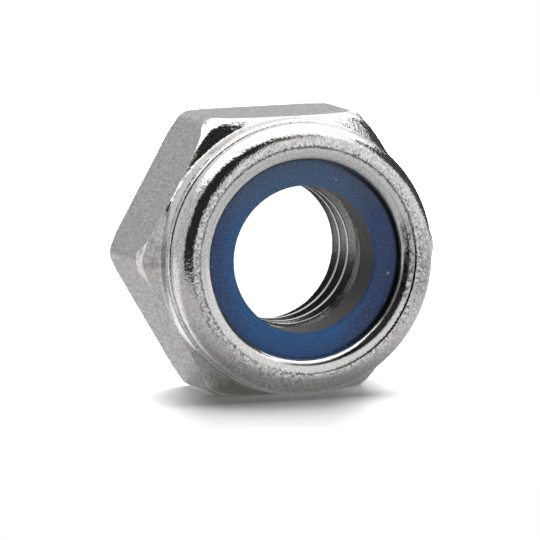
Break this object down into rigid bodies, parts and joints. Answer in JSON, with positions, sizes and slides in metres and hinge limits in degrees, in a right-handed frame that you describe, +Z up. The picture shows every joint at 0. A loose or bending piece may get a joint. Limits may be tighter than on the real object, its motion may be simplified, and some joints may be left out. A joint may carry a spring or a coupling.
{
  "type": "nylon insert lock nut",
  "caption": "Hexagon lock nut with a round collar rolled over a blue nylon ring that grips the bolt, bright zinc plated.",
  "frame": {"origin": "on the thread axis, in the plane of the flat bearing face", "axes": "+Z up as the nut stands on one flat; +Y along the thread axis, out of the bearing face; the nylon insert faces -Y; +X to the right when the insert is seen"},
  "size_m": [0.0194, 0.0097, 0.017],
  "materials": {
    "nut_body": "bright zinc plate: glossy on the rolled collar and the shoulder, satin on the flats",
    "nylon_insert": "dyed blue nylon with a soft sheen, slightly translucent"
  },
  "bodies": {
    "root": {"nut_body": "nut_body", "nylon_insert": "nylon_insert"}
  },
  "joints": []
}
